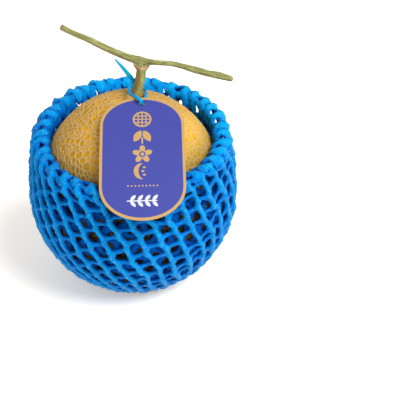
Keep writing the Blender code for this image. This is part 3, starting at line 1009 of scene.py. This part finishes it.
def net_cage(sheet):
    """The crossings and the strands between them."""
    azimuth, row, goal_step = lay_out_crossings()
    azimuth, row, lift, wide, deep, raised, outside = make_uneven(azimuth, row)
    spot = np.stack((azimuth, row, lift), -1)
    before = np.maximum(STEP - 1, 0)
    after = np.minimum(STEP + 1, ROPE_STEPS - 1)
    way = (spot[ROPE, after] - spot[ROPE, before])[..., :2]
    sizes = [size[..., None] for size in (wide, deep, raised)]
    offsets = crossing_corners(way, sheet.scale(azimuth, row), *sizes)
    places = {name: spot + offset for name, offset in offsets.items()}
    # Painted shade: the inner layer's crests are darkened
    shade = INNER_SHADE + (1 - INNER_SHADE) * np.clip(SHADE_RISE * outside, 0, 1)
    crests = {name: shade * crest for name, crest in CREST.items()}
    cage = Cage()
    index = {name: cage.add(places[name], crests[name]).reshape(ROPE.shape) for name in CREST}

    def port(names, where, turned_by=0.0):
        """The indices, places and crests of these corners at some crossings."""
        moved = np.array((1, 0, 0)) * turned_by
        return (
            [index[name][where].ravel() for name in names],
            [places[name][where] + moved for name in names],
            [crests[name][where] for name in names],
        )

    for side, corner, other in (
        ("SE", "E", "EN"), ("EN", "N", "NW"), ("NW", "W", "WS"), ("WS", "S", "SE"),
    ):
        for face in "oi":
            names = (f"C_{face}", f"{side}_{face}", corner, f"{other}_{face}")
            cage.quads(*[index[name] for name in names])

    cage.strand(port(ROPE_OUT, np.s_[:, :-1]), port(ROPE_IN, np.s_[:, 1:]), ROPE_PARTS)
    joined = goal_step < ROPE_STEPS
    ahead = ((ROPE[joined] - 1) % ROPES, goal_step[joined])
    turned_by = np.where(ROPE[joined] == 0, -tau, 0)[:, None]
    cage.strand(port(RUNG_OUT, joined), port(RUNG_IN, ahead, turned_by), RUNG_PARTS)

    for names, step, end_row in ((ROPE_OUT, ROPE_STEPS - 1, ALL_ROWS), (ROPE_IN, 0, 0.0)):
        indices, around, shades = port(names, np.s_[:, step])
        reach = (end_row - sum(around)[:, 1] / 4)[:, None]
        travel = np.concatenate((reach * ROPE_LEAN, reach, 0 * reach), 1)
        rings = [cage.ring(around, shades, width, travel * share) for share, width in END_RINGS]
        cage.tube([indices, *rings])
        cage.quads(*rings[-1])
    reached = np.zeros_like(joined)
    reached[ahead] = True
    cage.quads(*port(RUNG_OUT, ~joined)[0])
    cage.quads(*port(RUNG_IN, ~reached)[0])
    return cage


def build_foam_net():
    sheet = Sheet()
    net = net_cage(sheet).body("foam_strands", sheet)
    smooth = net.modifiers.new("smooth", "SUBSURF")
    smooth.levels = 1
    applied(net)
    net.data.shade_smooth()
    roughen(net.data)
    return net


def roughen(mesh):
    """Moves each vertex along its normal by a share of the lumps' height, from a fine noise."""
    moved = [
        v.co + v.normal * FOAM_LUMP_HEIGHT * noise.noise(v.co * FOAM_LUMP_SCALE)
        for v in mesh.vertices
    ]
    mesh.vertices.foreach_set("co", np.array(moved, np.float32).ravel())
    mesh.update()


def foam_material():
    look = Surface("blue_foam_skin", 0.26, Specular_IOR_Level=0.05, Specular_Tint=FOAM_SHEEN)
    grains = look.noise(2600, 2)
    blotches = look.noise(260, 3)
    slow = look.noise(40, 2)
    colour = look.mix(look.ramp(blotches, 0.35, 0.65), *FOAMS)
    colour = look.mix(look.ramp(slow, 0.5, 0.75), colour, FOAM_PATCH)
    place = look.axes()
    # Painted light: lighter colour high on the fold and further down on the right
    height = look.plus(place["Z"], look.times(place["X"], FOAM_HIGH_SLOPE))
    high = look.ramp(height, CENTRE.z + FOAM_HIGH_FROM, CENTRE.z + FOAM_HIGH_ABOVE)
    colour = look.mix(high, colour, FOAM_LIT)
    # Painted shade: strands are painted darker towards their undersides and on the inner layer
    deep = look.mix(high, *FOAM_SHADES)
    crest = look.ramp(look.attribute("crest"), 0.05, 0.95)
    colour = look.mix(crest, deep, colour)
    glint = look.times(look.ramp(look.noise(1100, 2), 0.62, 0.72), crest)
    colour = look.mix(look.times(glint, 0.6), colour, FOAM_GLINT)
    height = look.plus(grains, look.times(blotches, 1.5))
    return look.dressed(colour, height, 0.6, 0.0005)


# Tag


def tag_point(along, across, height):
    """A point of the curved tag: along from its top, across from its middle, height above it."""
    bend = (TAG_SLOPE_BOTTOM - TAG_SLOPE_TOP) / TAG_LENGTH
    slope = TAG_SLOPE_TOP + bend * along
    forward = (sin(slope) - sin(TAG_SLOPE_TOP)) / bend + sin(slope) * height
    rise = (cos(slope) - cos(TAG_SLOPE_TOP)) / bend + cos(slope) * height
    x, y = turned(TAG_TOP.x, TAG_TOP.y, across, -forward, TAG_TURN)
    return Vector((x, y, CENTRE.z + TAG_TOP.z + rise))


def round_ended(inset):
    """The tag's outline moved in by inset, as (across, along) points in order."""
    arch = TAG_ARCH - inset
    half = TAG_WIDTH / 2 - inset
    quarter = []
    for k in range(TAG_ARCH_STEPS + 1):
        turn = pi / 2 * k / TAG_ARCH_STEPS
        x = half * sin(turn) ** (2 / TAG_ARCH_POWER)
        y = arch * (1 - cos(turn) ** (2 / TAG_ARCH_POWER))
        quarter.append((x, inset + y))
    right = quarter + [(x, TAG_LENGTH - y) for x, y in reversed(quarter)]
    return right + [(-x, y) for x, y in reversed(right[1:-1])]


def turned(x, y, u, v, turn):
    """The point u, v turned by this angle and moved by x, y."""
    cosine, sine = cos(turn), sin(turn)
    return (x + u * cosine - v * sine, y + u * sine + v * cosine)


def ellipse(x, y, wide, high, count, turn=0.0):
    """An ellipse of these half widths, with its middle at x, y."""
    angles = [tau * k / count for k in range(count)]
    return [turned(x, y, wide * cos(a), high * sin(a), turn) for a in angles]


def bar(x0, y0, x1, y1, wide):
    """A straight stroke with round ends from one point to another."""
    angle = atan2(y1 - y0, x1 - x0)
    points = []
    for x, y, start in ((x1, y1, -90), (x0, y0, 90)):
        turns = [angle + radians(start + 30 * k) for k in range(7)]
        points += [turned(x, y, wide / 2, 0, turn) for turn in turns]
    return points


def leaf(x, y, length, wide, turn):
    """A leaf's outline: two arcs that meet in points, with its middle at x, y."""
    points = []
    for side in (-1, 1):
        for k in range(12):
            t = k / 12 if side < 0 else 1 - k / 12
            v = side * wide / 2 * sin(pi * t) ** 0.8
            points.append(turned(x, y, (t - 0.5) * length, v, turn))
    return points


# The tag's prints, as paints and outlines in millimetres, at a distance y from its top


def netted_circle(y, outer=6.4, inner=5.2, gap=2.6, stroke=0.8):
    shapes = [(TAN, ellipse(0, y, outer, outer, 36)), (CARD, ellipse(0, y, inner, inner, 36))]
    for shift in (-gap, 0, gap):
        reach = sqrt((inner + stroke / 4) ** 2 - shift**2)
        shapes.append((TAN, bar(shift, y - reach, shift, y + reach, stroke)))
        shapes.append((TAN, bar(-reach, y + shift, reach, y + shift, stroke)))
    return shapes


def leaf_pair(y, apart=3.1, length=9.8, wide=5, stroke=1.1):
    left = leaf(-apart, y, length, wide, radians(-62))
    right = leaf(apart, y, length, wide, radians(-118))
    return [(TAN, left), (TAN, right), (TAN, bar(0, y + 1.5, 0, y + 5.6, stroke))]


def flower(y, petals=5, reach=3.9, length=2.9, wide=1.95):
    shapes = []
    for k in range(petals):
        turn = tau * k / petals - pi / 2
        x = reach * cos(turn)
        shapes.append((TAN, ellipse(x, y + reach * sin(turn), length, wide, 20, turn)))
    return shapes + [(CARD, ellipse(0, y, 2.2, 2.2, 20)), (TAN, ellipse(0, y, 1.3, 1.3, 16))]


def slice_with_seeds(y, seed_gap=2.7):
    shapes = [(TAN, ellipse(-0.6, y, 5.2, 5.8, 36)), (CARD, ellipse(1.7, y, 4.4, 5.9, 36))]
    for k in (-1, 0, 1):
        shapes.append((TAN, ellipse(0.2 + abs(k), y + seed_gap * k, 1.1, 0.7, 16)))
    return shapes


def dots(y, gap=2.4, radius=0.6):
    return [(TAN, ellipse(gap * k, y, radius, radius, 12)) for k in range(-4, 5)]


def sprig(y, stroke=0.8, length=5.2, wide=2.3, lean=radians(48)):
    shapes = [(WHITE, bar(-10, y, 9, y, stroke))]
    for x in (-6.4, -1.6, 3.2, 8):
        for side in (-1, 1):
            shapes.append((WHITE, leaf(x, y + 2.1 * side, length, wide, lean * side)))
    return shapes


def tag_print():
    """The printed shapes in metres, later over earlier."""
    shapes = netted_circle(18.5) + leaf_pair(32) + flower(46)
    shapes += slice_with_seeds(58.5) + dots(69) + sprig(79.5)
    return [
        (paint, [(x * MILLIMETRE, y * MILLIMETRE) for x, y in outline])
        for paint, outline in shapes
    ]


def build_tag():
    hole = ellipse(0, TAG_HOLE_FROM_TOP, TAG_HOLE_RADIUS, TAG_HOLE_RADIUS, 32)
    regions = [(TAN, round_ended(0)), (CARD, round_ended(TAG_BORDER)), *tag_print(), (None, hole)]
    points = []
    loops = []
    for _, loop in regions:
        loops.append(list(range(len(points), len(points) + len(loop))))
        points += [Vector(point) for point in loop]
    folds = []
    past_edge = TAG_WIDTH / 2 + MILLIMETRE
    for k in range(1, TAG_FOLDS):
        y = TAG_LENGTH * k / TAG_FOLDS
        folds.append((len(points), len(points) + 1))
        points += [Vector((-past_edge, y)), Vector((past_edge, y))]
    flat, _, faces, _, _, owners = geometry.delaunay_2d_cdt(points, folds, loops, 0, POINT_GAP)
    plate = bmesh.new()
    front = [plate.verts.new(tag_point(p.y, p.x, TAG_THICKNESS / 2)) for p in flat]
    back = [plate.verts.new(tag_point(p.y, p.x, -TAG_THICKNESS / 2)) for p in flat]
    edges = set()
    for face, owner in zip(faces, owners):
        if not owner or len(regions) - 1 in owner:
            continue
        paint = regions[max(owner)][0]
        plain = regions[max(k for k in owner if k < 2)][0]
        plate.faces.new([front[k] for k in face]).material_index = paint
        plate.faces.new([back[k] for k in reversed(face)]).material_index = plain
        edges.update(zip(face, face[1:] + face[:1]))
    for a, b in sorted(edges):
        if (b, a) not in edges:
            plate.faces.new((front[b], front[a], back[a], back[b])).material_index = TAN
    for vertex in [v for v in plate.verts if not v.link_faces]:
        plate.verts.remove(vertex)
    tag = object_from("card_tag", plate)
    tag.data.set_sharp_from_angle(angle=radians(40))
    return tag


def card_material(name, light, dark):
    look = Surface(name, 0.5, Specular_IOR_Level=0.15)
    fibres = look.noise(1800, 4)
    slow = look.noise(60, 2)
    colour = look.mix(look.ramp(fibres, 0.3, 0.7), dark, light)
    colour = look.mix(look.times(look.ramp(slow, 0.4, 0.7), 0.5), colour, dark)
    return look.dressed(colour, fibres, 0.12, 0.0002)


# Tie


def build_tie():
    mesh_data = bmesh.new()
    path = smooth_path([(*place, TIE_RADIUS) for place in TIE_LOOP], steps=8, closed=True)
    add_tube(mesh_data, path, TIE_SIDES, closed=True)
    loop = object_from("loop", mesh_data)
    mesh_data = bmesh.new()
    add_tube(mesh_data, smooth_path(TIE_TAIL, steps=8), TIE_SIDES, round_ends=(1, 1))
    tail = object_from("tail", mesh_data)
    union = loop.modifiers.new("union", "BOOLEAN")
    union.operation = "UNION"
    union.object = tail
    applied(loop)
    bpy.data.objects.remove(tail, do_unlink=True)
    loop.name = "loop_tie"
    loop.data.shade_smooth()
    return loop


def tie_material():
    look = Surface("light_blue_plastic", 0.30, Specular_IOR_Level=0.15, Specular_Tint=TIE_SHEEN)
    slow = look.noise(150, 2)
    colour = look.mix(look.ramp(slow, 0.35, 0.65), *TIES)
    height = look.axes()["Z"]
    tail = look.ramp(height, *[CENTRE.z + above for above in TIE_TAIL_HEIGHTS])
    colour = look.mix(tail, colour, TIE_TAIL_COLOUR)
    return look.dressed(colour, look.noise(900, 2), 0.1, 0.0002)


# Floor and light


def build_stage():
    mesh_data = bmesh.new()
    bmesh.ops.create_grid(mesh_data, x_segments=1, y_segments=1, size=FLOOR_HALF_SIZE)
    floor = object_from("floor", mesh_data)
    look = Surface(
        "pale_floor", 0.9, Specular_IOR_Level=0.1,
        Emission_Color=FLOOR_GLOW, Emission_Strength=FLOOR_GLOW_STRENGTH,
    )
    look.link(look.mix(look.noise(3, 2), *FLOORS), "Base Color")
    floor.data.materials.append(look.material)


def build_lights():
    world = bpy.data.worlds.new("studio")
    bpy.context.scene.world = world
    world.use_nodes = True
    background = world.node_tree.nodes["Background"]
    background.inputs["Color"].default_value = (1, 1, 1, 1)
    background.inputs["Strength"].default_value = SKY_STRENGTH
    for name, (place, size, power) in LAMPS.items():
        data = bpy.data.lights.new(name, "AREA")
        data.shape = "DISK"
        data.size = size
        data.energy = power
        light = placed(name, data)
        light.location = place
        light.rotation_euler = (CENTRE - Vector(place)).to_track_quat("-Z", "Y").to_euler()
    bpy.context.scene.view_settings.view_transform = "Standard"


def main():
    make_camera()
    build_lights()
    build_stage()
    finish_piece(build_melon(), "melon", "melon_skin", rind_material())
    finish_piece(build_stem(), "stem", "dry_vine", stem_material())
    finish_piece(build_foam_net(), "foam_net", "blue_foam", foam_material())
    paints = [card_material(name, light, dark) for name, (light, dark) in PAINTS.items()]
    finish_piece(build_tag(), "hang_tag", "violet_card", *paints)
    finish_piece(build_tie(), "tag_tie", "light_blue_cord", tie_material())


main()
